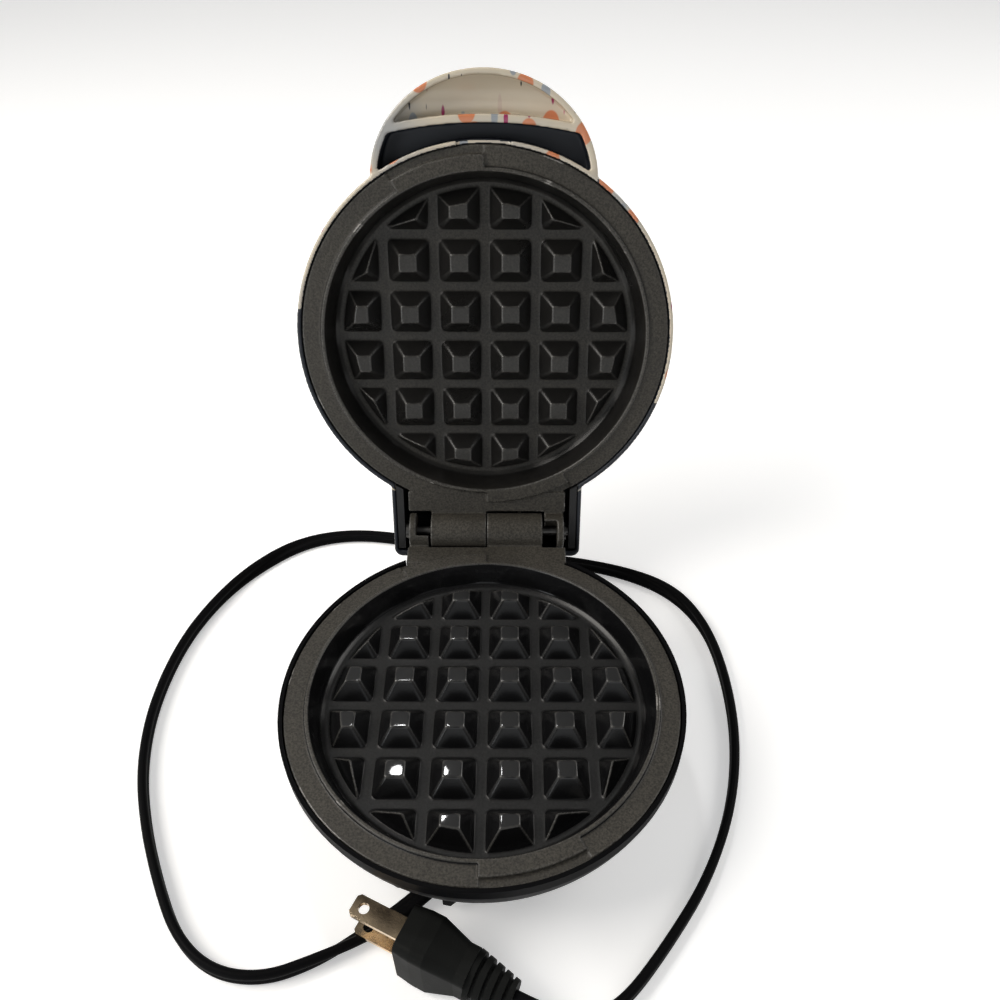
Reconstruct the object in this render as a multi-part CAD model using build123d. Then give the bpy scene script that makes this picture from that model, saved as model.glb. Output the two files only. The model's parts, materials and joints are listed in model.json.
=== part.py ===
from build123d import *
import os
from math import atan, cos, degrees, pi, radians, sin, tan

# Round mini waffle maker, stood open on a table. Lengths are in mm, +Z is up and the lid hinge runs along X.
# Everything is modelled round the axis of the round plates. At the end the whole is moved along Y, so that
# the origin lies on the table under the middle of the appliance as it stands open.

# ---- whole appliance
parting_height = 37.0        # table to the plane where the two plates meet
closed_gap = 0.3             # clearance between the two ring lands when the lid is shut
lid_open_angle = 109.0       # how far the lid stands open, from shut
fit_gap = 0.15               # clearance of a seated piece
running_gap = 0.3            # clearance between pieces that pass each other

# ---- waffle plates (one casting, used twice)
ring_d = 121.8
ring_thickness = 4.0
ring_width = 7.6             # from the ring's outer edge to the lip of the pool
inner_land = 1.2             # width of the raised land just outside the lip
wide_land = 4.9              # the same land where it widens, in two sectors
land_step = 1.0              # how far the rest of the ring lies lower
wide_land_start = 90.0       # degrees from +X; the second sector is opposite
wide_land_sweep = 30.0
band_step = 0.5              # and how much lower still outside the wide land
pool_draft = 2.8             # how far the pool's wall leans in
pool_depth = 8.75
pool_corner = 1.2            # slope between the wall and the floor
floor_thickness = 3.0
pool_wall = 2.5
grid_pitch = 16.7
grid_cells = 6
pyramid_base = 13.7
pyramid_top = 5.6
pyramid_height = 5.7
pyramid_corner = 1.6
grid_margin = 2.5            # floor left round the grid, whose outer cells are cut to a cone
boss_d = 8.0                 # screw bosses under the plate
boss_clear = 0.6             # between the bosses and the heating element
boss_angles = (90.0, 210.0, 330.0)
boss_length = 6.2

# ---- hinge
hinge_reach = 8.6            # hinge axis behind the ring's edge
knuckle_d = 13.0
pin_d = 3.2
pin_play = 0.08              # radial running clearance of the pin
knuckle_gap = 0.3            # end gap at the middle of the hinge
knuckle_length = 20.0        # long knuckle
end_knuckle_gap = 0.8
end_knuckle_length = 6.9
end_notch_length = 4.5       # stop notch cut into the end knuckle
web_margin = 0.5             # web beyond the end knuckles
web_thickness = 4.5
pin_head_d = 5.2
pin_head_length = 1.4

# ---- base housing
housing_margin = 1.4         # housing rim beyond the ring
housing_wall = 2.2
rim_drop = 0.6               # housing rim below the parting plane
rim_straight = 3.9           # upright part of the wall
bowl_taper = 15.3            # how far the bowl's wall comes in towards the bottom
bowl_bulge = 2.2             # how far the bowl swells beyond the straight cone
foot_height = 4.0
ledge_width = 2.0
ledge_thickness = 2.2
tower_half_width = 26.0      # rear tower under the hinge
tower_reach = 4.5            # tower behind the hinge axis
tower_corner = 4.0
cover_thickness = 2.2
foot_d = 11.0
foot_stem_d = 4.0
front_foot = (26.0, -29.0)
rear_foot_x = 17.0
rear_foot_inset = 5.0        # rear feet ahead of the hinge axis

# ---- lid
shell_margin = 1.5           # lid rim beyond the ring
shell_wall = 2.2
shell_height = 34.0
shell_straight = 6.0
dome_squareness = 2.5        # 2 is an ellipse, more is squarer
hood_wall = 1.5              # cover behind the hinge
hood_reach = 10.8
hood_height = 22.0
hood_back_wall = 2.2
hood_inner_corner = 1.2
handle_half_width = 35.4
handle_depth = 32.0          # from the handle's widest line to its tip
handle_inset = 12.4          # the handle's widest line inside the lid's edge
handle_height = 12.5
handle_wall = 2.2
bar_radius = 142.0           # gently arched bar between the finger slot and the scoop
bar_gap = 4.6                # finger slot at the middle of the bar
bar_width = 2.4
scoop_rim = 1.8
scoop_depth = 8.0
slot_depth = 9.6
latch_notch_width = 16.5
latch_notch_depth = 1.6
cheek_gap = 2.1              # room for the pin's head
cheek_thickness = 2.5
cheek_fit = 0.2
cheek_height = 13.0
frame_thickness = 1.8
frame_arm_thickness = 1.5
frame_arm_span = 14.0        # degrees

# ---- heating
element_d = 5.8
element_ring_d = 65.0
element_gap_angle = 24.0
terminal_d = 2.4
terminal_length = 6.0
shield_thickness = 0.6
shield_margin = 3.0          # shield inside the pool floor's edge
shield_lip = 3.0
thermostat_d = 14.0
thermostat_height = 5.6
fuse_d = 4.0
fuse_length = 14.0
wire_d = 1.6
screw_d = 3.0
screw_head_d = 5.6
screw_head_height = 1.8
block_size = (20.0, 9.0, 7.0)
block_back = 8.0             # terminal block behind the middle of the base
core_gap = 0.9               # cores start clear of the gland's flange
lamp_gap = 0.4               # and of the lamp
lens_d = 6.0
lens_proud = 0.8
lens_flange_drop = 3.4
lamp_d = 4.4
lamp_length = 4.5
lens_inset = 20.4            # indicator inside the lid's edge

# ---- cord and plug
cord_d = 3.6                 # the flat lead is 5.6 x 2.9; its solid is this plain tube
gland_base_d = 8.0
gland_neck_d = 6.2
gland_tip_d = 4.4
gland_length = 20.0
gland_flange = 2.0           # flange on the inner side of the bay wall
gland_tilt = 15.0            # the gland points down towards the table
cord_exit = (-13.8, -46.3)
cord_exit_angle = 218.0
cord_exit_height = 5.6
bay_width = 12.0
bay_height = 15.4
bay_wall = 1.8
plug_face = (-20.0, -64.5)
plug_angle = -25.8           # from the blades back towards the cord
plug_height = 22.4           # it stands on its narrow side
plug_width = 14.6
plug_body_length = 20.5
plug_nose = 5.0
blade_length = 16.5
blade_width = 6.3
blade_thickness = 1.5
blade_spacing = 12.7
blade_hole_d = 3.1
relief_length = 12.5
relief_d = 14.0
relief_tip_d = 8.4
relief_rib = 1.1             # depth of the grooves between its ribs
neck_width = 11.6            # end of the plug's body that the strain relief grows from
neck_height = 14.6
cord_first_run = 11.0        # straight out of the gland
cord_last_run = 9.6          # straight into the plug's strain relief
# the lead's route over the table, between its straight runs out of the gland and into the plug
cord_route = [
    (-34.5, -60.6, 1.8), (-46.5, -67.2, 1.8), (-60.0, -72.0, 1.8),
    (-74.5, -70.2, 1.8), (-86.5, -61.0, 1.8), (-95.8, -46.2, 1.8), (-105.6, -26.7, 1.8),
    (-112.8, -6.0, 1.8), (-115.6, 17.8, 1.8), (-112.6, 44.6, 1.8), (-104.4, 66.0, 1.8),
    (-93.2, 82.8, 1.8), (-77.6, 97.2, 1.8), (-57.0, 102.8, 1.8), (-32.3, 99.4, 1.8),
    (-4.0, 91.2, 1.8), (26.0, 88.4, 1.8), (52.6, 82.4, 1.8), (71.8, 71.4, 1.8),
    (82.0, 53.6, 1.8), (85.6, 31.8, 1.8), (85.1, 5.9, 1.8), (79.4, -19.5, 1.8),
    (68.1, -43.2, 1.8), (53.4, -62.6, 1.8), (39.2, -78.4, 2.4), (28.7, -83.4, 7.0),
]

ring_r = ring_d / 2
lip_r = ring_r - ring_width
pool_r = lip_r - pool_draft
grid_r = pool_r - grid_margin
boss_circle_d = element_ring_d + element_d + boss_d + 2 * boss_clear
hinge_back = ring_r + hinge_reach
housing_d = ring_d + 2 * housing_margin
base_bottom_d = housing_d - 2 * bowl_taper
shell_d = ring_d + 2 * shell_margin
shield_d = 2 * (pool_r - shield_margin)
handle_centre = handle_inset - shell_d / 2
bar_front = -shell_d / 2 - bar_gap
lens_back = lens_inset - shell_d / 2
end_knuckle_start = knuckle_length + end_knuckle_gap
end_knuckle_end = end_knuckle_start + end_knuckle_length
web_half_width = end_knuckle_end + web_margin
cheek_inner = end_knuckle_end + cheek_gap
cheek_outer = cheek_inner + cheek_thickness
hood_half_width = cheek_outer + cheek_fit + hood_wall
rear_foot = (rear_foot_x, hinge_back - rear_foot_inset)
cutter = 2 * shell_d         # reach of blocks that only cut
land = -closed_gap / 2                       # ring land below the parting plane
floor_under = -pool_depth - floor_thickness  # underside of the pool floor
boss_under = floor_under - boss_length
os.makedirs("parts", exist_ok=True)


def to_world(shape):
    """From a frame on the parting plane to the table frame."""
    return Pos(0, 0, parting_height) * shape


def opened(shape):
    """A lid piece modelled shut, swung open about the hinge."""
    swing = Pos(0, hinge_back, 0) * Rot(X=-lid_open_angle) * Pos(0, -hinge_back, 0)
    return to_world(swing * shape)


def turned_over(shape):
    """The base casting turned over about Y, which makes the lid casting."""
    return Rot(Y=180) * shape


def cylinder(radius, low, high, x=0.0, y=0.0):
    return Pos(x, y, (low + high) / 2) * Cylinder(radius, high - low)


def x_cylinder(radius, x0, x1, y=0.0, z=0.0):
    return Pos((x0 + x1) / 2, y, z) * Rot(Y=90) * Cylinder(radius, x1 - x0)


def block(x0, x1, y0, y1, z0, z1):
    return Pos((x0 + x1) / 2, (y0 + y1) / 2, (z0 + z1) / 2) * Box(x1 - x0, y1 - y0, z1 - z0)


def spin(*corners):
    """A solid of revolution about Z from (radius, z) corners."""
    outline = Polyline(*[(r, 0, z) for r, z in corners], close=True)
    return revolve(make_face(outline), Axis.Z)


def on_circle(diameter, angle):
    return diameter / 2 * cos(radians(angle)), diameter / 2 * sin(radians(angle))


# ---------------------------------------------------------------- waffle plate casting
pyramid_lean = (pyramid_base - pyramid_top) / 2 / pyramid_height
sunk = 0.4                   # how far a pyramid reaches into the floor


def pyramid():
    foot = pyramid_base + 2 * sunk * pyramid_lean
    low = Pos(0, 0, -pool_depth - sunk) * RectangleRounded(foot, foot, pyramid_corner)
    top = Pos(0, 0, -pool_depth + pyramid_height) * RectangleRounded(pyramid_top, pyramid_top, pyramid_corner / 2)
    return loft([low, top], ruled=True)


def waffle_grid():
    one = pyramid()
    low, high = -pool_depth - sunk, -pool_depth + pyramid_height
    wide, narrow = grid_r + sunk * pyramid_lean, grid_r - pyramid_height * pyramid_lean
    keep = spin((0, low), (wide, low), (narrow, high), (0, high))
    half = (grid_cells - 1) / 2
    cells = []
    for column in range(grid_cells):
        for row in range(grid_cells):
            x, y = (column - half) * grid_pitch, (row - half) * grid_pitch
            corner = ((abs(x) - pyramid_base / 2) ** 2 + (abs(y) - pyramid_base / 2) ** 2) ** 0.5
            if corner > grid_r - 1.5:
                continue
            cell = Pos(x, y, 0) * one
            outer = ((abs(x) + pyramid_base / 2) ** 2 + (abs(y) + pyramid_base / 2) ** 2) ** 0.5
            cells.append(cell if outer < grid_r else cell & keep)
    return cells


def sector(radius, low, high, start, sweep):
    """A pie slice, used to cut the ring."""
    slice_face = Polyline((0, 0), *[(2 * radius * cos(radians(start + sweep * k / 4)),
                                     2 * radius * sin(radians(start + sweep * k / 4))) for k in range(5)],
                          close=True)
    return Pos(0, 0, low) * extrude(make_face(slice_face), high - low)


def ring_recess():
    """What is cut from the ring top to leave the stepped land."""
    low, high = land - land_step, 1.0
    cut = cylinder(ring_r + 1, low, high) - cylinder(lip_r + inner_land, low - 1, high + 1)
    wide = cylinder(lip_r + wide_land, low - 1, high + 1)
    band = cylinder(ring_r + 1, low - band_step, high) - wide
    for start in (wide_land_start, wide_land_start + 180):
        slice_ = sector(ring_r, low - 1, high + 1, start, wide_land_sweep)
        cut = cut - (wide & slice_) + (band & slice_)
    return cut


def knuckle(x0, x1):
    arm_top, arm_low = land - land_step, -knuckle_d / 2 + 0.1
    body = x_cylinder(knuckle_d / 2, x0, x1, hinge_back)
    return body + block(x0, x1, ring_r + 0.3, hinge_back, arm_low, arm_top)


def casting():
    outer_under = land - ring_thickness
    wall_foot = pool_r + pool_draft * pool_corner / pool_depth
    cup = spin((0, -pool_depth), (pool_r - pool_corner, -pool_depth), (wall_foot, -pool_depth + pool_corner),
               (lip_r, land), (ring_r - 0.5, land), (ring_r, land - 0.5 - land_step - band_step),
               (ring_r, outer_under), (lip_r + pool_wall, outer_under),
               (pool_r + pool_wall, floor_under), (0, floor_under))
    cup -= ring_recess()
    web_top = land - land_step
    web = block(-web_half_width, web_half_width, lip_r + 1.5, hinge_back - knuckle_d / 2 - 0.7,
                web_top - web_thickness, web_top)
    cup += web - cylinder(lip_r + 1, -20, 1)
    cup += knuckle(knuckle_gap / 2, knuckle_length)
    cup += knuckle(-end_knuckle_end, -end_knuckle_start)
    notch = block(-end_knuckle_start - end_notch_length, -end_knuckle_start + 1, -1.7, 20, -20, 20)
    cup -= Pos(0, hinge_back, 0) * Rot(X=46) * notch
    cup -= x_cylinder(pin_d / 2 + pin_play, -40, 40, hinge_back)
    for angle in boss_angles:
        x, y = on_circle(boss_circle_d, angle)
        cup += cylinder(boss_d / 2, boss_under, floor_under + 0.5, x, y)
        cup -= cylinder(screw_d / 2 + 0.05, boss_under - 1, floor_under + 1.0, x, y)
    for cell in waffle_grid():
        cup += cell
    return cup


# ---------------------------------------------------------------- base housing and cover
def bowl(inset, low, top):
    """The base bowl's outline, moved in by a wall, as a solid of revolution in the plate frame."""
    rim_r, foot_r = housing_d / 2 - inset, base_bottom_d / 2 - inset
    shoulder, bottom = -rim_drop - rim_straight, foot_height - parting_height
    run, rise = rim_r - foot_r, shoulder - bottom
    chord = (run ** 2 + rise ** 2) ** 0.5
    middle = ((rim_r + foot_r) / 2 + bowl_bulge * rise / chord, 0, (shoulder + bottom) / 2 - bowl_bulge * run / chord)
    side = ThreePointArc((rim_r, 0, shoulder), middle, (foot_r, 0, bottom))
    ends = [Line((rim_r, 0, shoulder), (rim_r, 0, top)), Line((rim_r, 0, top), (0, 0, top)),
            Line((0, 0, top), (0, 0, low)), Line((0, 0, low), (foot_r, 0, low))]
    if low < bottom:
        ends.append(Line((foot_r, 0, low), (foot_r, 0, bottom)))
    return revolve(make_face([side] + ends), Axis.Z)


def tower(inset):
    """Rear tower under the hinge. Its sloping top is the stop that the open lid leans on."""
    reach = hood_reach + running_gap
    slope = radians(180 - lid_open_angle)
    back = tower_reach - inset
    def stop_height(y):
        return -(reach + inset + y * cos(slope)) / sin(slope)
    low = foot_height - parting_height - (1 if inset else 0)
    edge = [(-36, low), (back, low), (back, stop_height(back)), (-3.0, stop_height(-3.0)),
            (-7.2, -9.6 - inset), (-15.0, -7.4 - inset), (-36, -7.4 - inset)]
    side = make_face(Polyline(*[(0, hinge_back + y, z) for y, z in edge], close=True))
    half = tower_half_width - inset
    body = Pos(-half, 0, 0) * extrude(side, 2 * half, dir=(1, 0, 0))
    return fillet(body.edges().filter_by(Axis.Z).group_by(Axis.Y)[-1], tower_corner - inset)


def bay_shape(extra, top, start, end):
    """The cord bay in the cover: a low tunnel along the way the cord leaves."""
    middle = (start + end) / 2
    tunnel = Pos(middle, 0, (top - 5) / 2) * Box(end - start, bay_width + 2 * extra, top + 5)
    return Pos(cord_exit[0], cord_exit[1], 0) * Rot(Z=cord_exit_angle) * tunnel


def base_housing():
    low = foot_height - parting_height
    ledge_top = land - ring_thickness
    arm_clearance = knuckle_d / 2 + running_gap
    outer = bowl(0, low, -rim_drop) + tower(0)
    shell = outer - bowl(housing_wall, low - 1, 1) - tower(housing_wall)
    ledge = cylinder(housing_d / 2 - 1, ledge_top - ledge_thickness, ledge_top)
    shell += ledge - cylinder(housing_d / 2 - housing_wall - ledge_width, -20, 1)
    shell -= cylinder(ring_r + fit_gap, ledge_top, 1)
    web_low = land - land_step - web_thickness - fit_gap
    half = web_half_width + fit_gap
    shell -= block(-half, half, pool_r, hinge_back, web_low, 1)
    shell -= block(-half, half, ring_r - 0.5, hinge_back, -arm_clearance, 1)
    return to_world(shell) - bay_shape(bay_wall + fit_gap, bay_height + bay_wall + fit_gap, -gland_length + 2, 40)


def cover_outline(inset, low, high):
    half = tower_half_width - housing_wall - inset
    disc = cylinder(base_bottom_d / 2 - housing_wall - inset, low, high)
    tongue = block(-half, half, 0, hinge_back + tower_reach - housing_wall - inset, low, high)
    corners = tongue.edges().filter_by(Axis.Z).group_by(Axis.Y)[-1]
    return disc + fillet(corners, tower_corner - housing_wall - inset)


def gland_frame():
    """X runs along the lead as it leaves; the origin is where the lead leaves the gland."""
    return Pos(cord_exit[0], cord_exit[1], cord_exit_height) * Rot(Z=cord_exit_angle) * Rot(Y=gland_tilt)


gland_lean = gland_base_d / 2 * sin(radians(gland_tilt)) + fit_gap


def gland_wall():
    """Inner face of the bay wall that holds the gland, along the way the lead leaves."""
    return -gland_length - gland_lean - bay_wall


def gland_inner_end():
    """Back of the gland's inner flange, along the gland's own axis."""
    return (gland_wall() - gland_lean) / cos(radians(gland_tilt)) - gland_flange


def bottom_cover():
    top = foot_height + cover_thickness
    cover = cover_outline(fit_gap, foot_height, top)
    post_top = parting_height + boss_under - shield_thickness
    for angle in boss_angles:
        x, y = on_circle(boss_circle_d, angle)
        cover += cylinder(boss_d / 2 - 0.5, foot_height, post_top, x, y)
    start, end = gland_wall(), 10.0
    roof = bay_height + bay_wall
    inside = cylinder(base_bottom_d / 2 + 6, -10, cutter)
    cover += (bay_shape(bay_wall, roof, start, end) & inside) - block(-cutter, cutter, -cutter, cutter, -cutter, foot_height)
    cover -= bay_shape(0, bay_height, start + bay_wall, end + 20)
    cover -= gland_frame() * x_cylinder(gland_neck_d / 2 + fit_gap, start - 2, start + bay_wall + 1)
    for angle in boss_angles:
        x, y = on_circle(boss_circle_d, angle)
        cover -= cylinder(screw_d / 2 + fit_gap, 0, cutter, x, y)
        cover -= cylinder(screw_head_d / 2 + fit_gap, 0, foot_height + screw_head_height, x, y)
    for x, y in feet_places():
        cover -= cylinder(foot_stem_d / 2 + 0.1, 0, top + 1, x, y)
    return cover


def feet_places():
    return [(side * x, y) for x, y in (front_foot, rear_foot) for side in (-1, 1)]


def rubber_feet():
    feet = []
    for x, y in feet_places():
        pad = cylinder(foot_d / 2, 0, foot_height, x, y)
        pad = chamfer(pad.edges().group_by(Axis.Z)[0], 0.8)
        feet.append(pad + cylinder(foot_stem_d / 2, foot_height - 0.5, foot_height + cover_thickness + 1.0, x, y))
    return Compound(children=feet)


def screw(x, y, seat, tip, head_up):
    """A pan head screw along Z: its head stands on the seat, its shank runs to the tip."""
    far = seat + screw_head_height if head_up else seat - screw_head_height
    head = cylinder(screw_head_d / 2, min(seat, far), max(seat, far), x, y)
    slot = block(x - 2, x + 2, y - 0.35, y + 0.35, far - 0.6, far + 0.6)
    return head - slot + cylinder(screw_d / 2, min(seat, tip), max(seat, tip), x, y)


def tie_screws():
    seat = foot_height + screw_head_height
    tip = parting_height + floor_under - 0.6
    return Compound(children=[screw(*on_circle(boss_circle_d, a), seat, tip, False) for a in boss_angles])


# ---------------------------------------------------------------- heating, used in base and lid
def heating_element():
    ring_r0 = element_ring_d / 2
    gap = element_gap_angle
    level = floor_under - 0.1 - element_d / 2
    start = 90 + gap / 2
    path = CenterArc((0, 0, level), ring_r0, start, 360 - gap)
    profile = Plane(origin=path @ 0, z_dir=path % 0) * Circle(element_d / 2)
    tube = sweep(profile, path)
    for end in (start, start - gap):
        x, y = on_circle(element_ring_d, end)
        tube += cylinder(terminal_d / 2, level - element_d / 2 - terminal_length, level, x, y)
    return tube


def heat_shield():
    top = boss_under
    low = top - shield_thickness
    r = shield_d / 2
    dish = spin((0, low), (r - shield_lip, low), (r, low + shield_lip), (r, low + shield_lip + shield_thickness),
                (r - shield_lip, top), (0, top))
    for angle in boss_angles:
        dish -= cylinder(screw_d / 2 + fit_gap, low - 1, top + 5, *on_circle(boss_circle_d, angle))
    for end in (90 + element_gap_angle / 2, 90 - element_gap_angle / 2):
        dish -= cylinder(terminal_d / 2 + 1.4, low - 1, top + 1, *on_circle(element_ring_d, end))
    dish -= cylinder(thermostat_d / 2 + 1.5, low - 1, top + 1)
    return dish


def element_clips():
    """Two U-shaped strap clips that hold the element up against the plate."""
    clips = []
    strap_t, width, foot = 0.6, 6.0, 3.0
    half = element_d / 2 + 0.2
    low = floor_under - 0.1 - element_d - 0.1 - 0.2
    for angle in (0.0, 180.0):
        x, y = on_circle(element_ring_d, angle)
        strap = block(-half - foot, half + foot, -width / 2, width / 2, low, floor_under - 0.05)
        strap -= block(-half, half, -width, width, low + 0.15, floor_under + 1)
        tab_under = floor_under - 0.05 - strap_t
        strap -= block(half + strap_t, half + foot + 1, -width, width, low - 1, tab_under)
        strap -= block(-half - foot - 1, -half - strap_t, -width, width, low - 1, tab_under)
        clips.append(Pos(x, y, 0) * Rot(Z=angle) * strap)
    return Compound(children=clips)


def thermostat():
    top = floor_under - 0.05
    can = cylinder(thermostat_d / 2, top - thermostat_height, top)
    cap = cylinder(thermostat_d / 2 - 2, top - thermostat_height - 3, top - thermostat_height)
    legs = [block(s * 3 - 0.4, s * 3 + 0.4, -1.5, 1.5, top - thermostat_height - 7, top - thermostat_height - 2.9)
            for s in (-1, 1)]
    return can + cap + legs[0] + legs[1]


def terminal_block():
    length, depth, height = block_size
    low = foot_height + cover_thickness + 0.05
    body = block(-length / 2, length / 2, block_back - depth / 2, block_back + depth / 2, low, low + height)
    for k in (-1, 0, 1):
        body -= cylinder(1.6, low + height - 3, low + height + 1, k * length / 3.2, block_back)
    return body


def thermal_fuse():
    level = parting_height + boss_under - shield_thickness - 0.1 - fuse_d / 2
    return x_cylinder(fuse_d / 2, -fuse_length / 2, fuse_length / 2, -14, level)


def wire(*corners, radius=2.0):
    path = FilletPolyline(*corners, radius=radius)
    return sweep(Plane(origin=path @ 0, z_dir=path % 0) * Circle(wire_d / 2), path)


def gland_back(across_axis):
    """Where a core of the lead comes out behind the gland's inner flange."""
    return (gland_frame() * Pos(gland_inner_end() - core_gap, across_axis, 0)).position


def base_wiring():
    gx, gy = on_circle(element_ring_d, 90 - element_gap_angle / 2)
    pin_low = parting_height + floor_under - 0.1 - element_d - terminal_length - 0.1
    front = block_back - block_size[1] / 2 - 0.2
    back = block_back + block_size[1] / 2 + 0.2
    fuse_z = parting_height + boss_under - shield_thickness - 0.1 - fuse_d / 2
    fuse_x = fuse_length / 2 + 0.05
    rise = hinge_back - 7.5
    leads = [
        wire(gland_back(1.6), (8.4, -22.0, 10.5), (8.0, front, 9.6)),
        wire(gland_back(-1.6), (6.3, -24.5, 14.0), (-3.0, -20.0, 15.0), (-11.0, -19.0, fuse_z),
             (-11.0, -14.0, fuse_z), (-fuse_x, -14.0, fuse_z), radius=1.5),
        wire((fuse_x, -14.0, fuse_z), (11.0, -14.0, fuse_z), (11.0, 0.0, 13.9), (4.3, 0.0, 13.9), radius=1.5),
        wire((-4.3, 0.0, 13.9), (-13.5, 0.0, 13.9), (-13.5, 24.0, 12.0), (-gx, gy, 9.0), (-gx, gy, pin_low)),
        wire((gx, back, 9.6), (gx, gy, 9.6), (gx, gy, pin_low)),
        wire((9.0, back, 7.4), (12.5, 30.0, 8.0), (12.5, rise, 8.0), (12.5, rise + 1.5, 20.0)),
        wire((-9.0, back, 7.4), (-12.5, 30.0, 8.0), (-12.5, rise, 8.0), (-12.5, rise + 1.5, 20.0)),
    ]
    return Compound(children=leads)


# ---------------------------------------------------------------- hinge pin
def hinge_pin():
    end = end_knuckle_end + 1.6
    pin = x_cylinder(pin_d / 2, -end_knuckle_end - 0.05, end, hinge_back)
    pin += x_cylinder(pin_head_d / 2, -end_knuckle_end - 0.05 - pin_head_length, -end_knuckle_end - 0.05, hinge_back)
    return to_world(pin)


def pin_clip():
    x = end_knuckle_end + 0.2
    ring = x_cylinder(pin_head_d / 2 + 0.6, x, x + 0.7, hinge_back)
    ring -= x_cylinder(pin_d / 2 + 0.05, x - 1, x + 2, hinge_back)
    ring -= block(x - 1, x + 2, hinge_back - 1.0, hinge_back + 1.0, 0, 10)
    return to_world(ring)


# ---------------------------------------------------------------- lid (modelled shut)
def dome(inset, low):
    """The lid's outline, moved in by a wall, as a solid of revolution."""
    r, rise = shell_d / 2 - inset, shell_height - inset - shell_straight
    power = 2 / dome_squareness
    steps = [radians(90 * k / 6) for k in range(7)]
    side = Spline(*[(r * cos(t) ** power, 0, shell_straight + rise * sin(t) ** power) for t in steps],
                  tangents=[(0, 0, 1), (-1, 0, 0)])
    top = shell_straight + rise
    face = make_face([Line((0, 0, low), (r, 0, low)), Line((r, 0, low), (r, 0, shell_straight)), side,
                      Line((0, 0, top), (0, 0, low))])
    return revolve(face, Axis.Z)


def hood(inset_side, inset_back, inset_top, low):
    half = hood_half_width - inset_side
    box = block(-half, half, boss_circle_d / 2, hinge_back + hood_reach - inset_back, low, hood_height - inset_top)
    back_top = box.edges().filter_by(Axis.X).sort_by(lambda e: e.center().Y + e.center().Z)[-1]
    box = fillet(back_top, 9.0 - inset_back)
    uprights = box.edges().filter_by(Axis.Z).group_by(Axis.Y)[-1]
    return fillet(uprights, 3.0 if inset_side == 0 else hood_inner_corner)


def handle_outline(inset):
    return Pos(0, handle_centre) * Ellipse(handle_half_width - inset, handle_depth - inset)


def bar_disc(extra):
    return Pos(0, bar_front + bar_radius) * Circle(bar_radius + extra)


def handle():
    grip = Pos(0, 0, rim_drop + 0.4) * extrude(handle_outline(0), handle_height)
    return fillet(grip.edges().group_by(Axis.Z)[-1], 5.0)


def finger_slot():
    opening = (handle_outline(handle_wall) & bar_disc(0)) - Circle(shell_d / 2)
    return extrude(opening, slot_depth)


def scoop():
    opening = handle_outline(scoop_rim) - bar_disc(bar_width)
    bowl_y = bar_front - bar_width - 1.0
    bowl_reach = bowl_y - (handle_centre - handle_depth + scoop_rim) + 0.6
    hollow = Pos(0, bowl_y, 0) * scale(Sphere(1), by=(handle_half_width + 2, bowl_reach, scoop_depth))
    return extrude(opening, scoop_depth) & hollow


def lid_shell():
    low = rim_drop
    solid = dome(0, low) + hood(0, 0, 0, low) + handle()
    frame_seat = land * -1 + ring_thickness
    inner = dome(shell_wall, frame_seat) + cylinder(ring_r + fit_gap, 0, frame_seat + 0.1)
    inner += hood(hood_wall, hood_back_wall, hood_wall, 0)
    shell = solid - inner - finger_slot() - scoop()
    slot_middle = bar_front + bar_gap / 2
    shell -= block(-latch_notch_width / 2, latch_notch_width / 2, slot_middle, -ring_r + 3, 0, low + latch_notch_depth)
    surface = lens_surface()
    shell -= cylinder(lens_d / 2 + fit_gap, surface - 8, surface + 8, 0, lens_back)
    return shell


def lens_surface():
    """Height of the lid's outer face at the indicator."""
    column = block(-0.1, 0.1, lens_back - 0.1, lens_back + 0.1, 0, 2 * shell_height) & dome(0, 0)
    return column.bounding_box().max.Z


def frame_arm_low():
    return -boss_under + shield_thickness + 0.05


def lid_inner_frame():
    seat = -land + ring_thickness + 0.05
    outer = shell_d / 2 - shell_wall - fit_gap
    inner = lip_r + pool_wall + 0.4
    frame = cylinder(outer, seat, seat + frame_thickness) - cylinder(inner, seat - 1, seat + 9)
    arm_low = frame_arm_low()
    arm_top = arm_low + frame_arm_thickness
    tip, leg = boss_circle_d / 2 - 4, inner + 0.3
    profile = Polyline((leg, 0, seat + 0.5), (leg + 1.6, 0, seat + 0.5), (leg + 1.6, 0, seat + 6),
                       (leg - 2, 0, arm_top), (tip, 0, arm_top), (tip, 0, arm_low), (leg - 2.8, 0, arm_low),
                       (leg, 0, seat + 6), close=True)
    arm = revolve(make_face(profile), Axis.Z, frame_arm_span)
    for angle in boss_angles:
        frame += Rot(Z=angle - frame_arm_span / 2) * arm
        frame -= cylinder(screw_d / 2 + fit_gap, arm_low - 1, arm_top + 1, *on_circle(boss_circle_d, angle))
    for side in (-1, 1):
        x0, x1 = sorted((side * cheek_inner, side * cheek_outer))
        cheek_back = hinge_back + hood_reach - hood_back_wall - hood_inner_corner
        cheek = block(x0, x1, hinge_back - 21, cheek_back, rim_drop, cheek_height)
        frame += cheek - cylinder(ring_r + 2 * fit_gap, 0, seat)
    half = web_half_width + fit_gap
    return frame - block(-half, half, boss_circle_d / 2, hinge_back, -1, land_step + web_thickness + fit_gap - land)


def frame_screws():
    seat = frame_arm_low() + frame_arm_thickness
    tip = -floor_under + 0.6
    return Compound(children=[screw(*on_circle(boss_circle_d, a), seat, tip, True) for a in boss_angles])


def lens_seat():
    return lens_surface() - shell_wall - lens_flange_drop


def indicator_lens():
    low = lens_seat()
    lens = cylinder(lens_d / 2, low, lens_surface() + lens_proud, 0, lens_back)
    lens = fillet(lens.edges().group_by(Axis.Z)[-1], 1.2)
    return lens + cylinder(lens_d / 2 + 1.0, low, low + 0.9, 0, lens_back)


def indicator_lamp():
    top = lens_seat() - 0.05
    return cylinder(lamp_d / 2, top - lamp_length, top, 0, lens_back)


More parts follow.
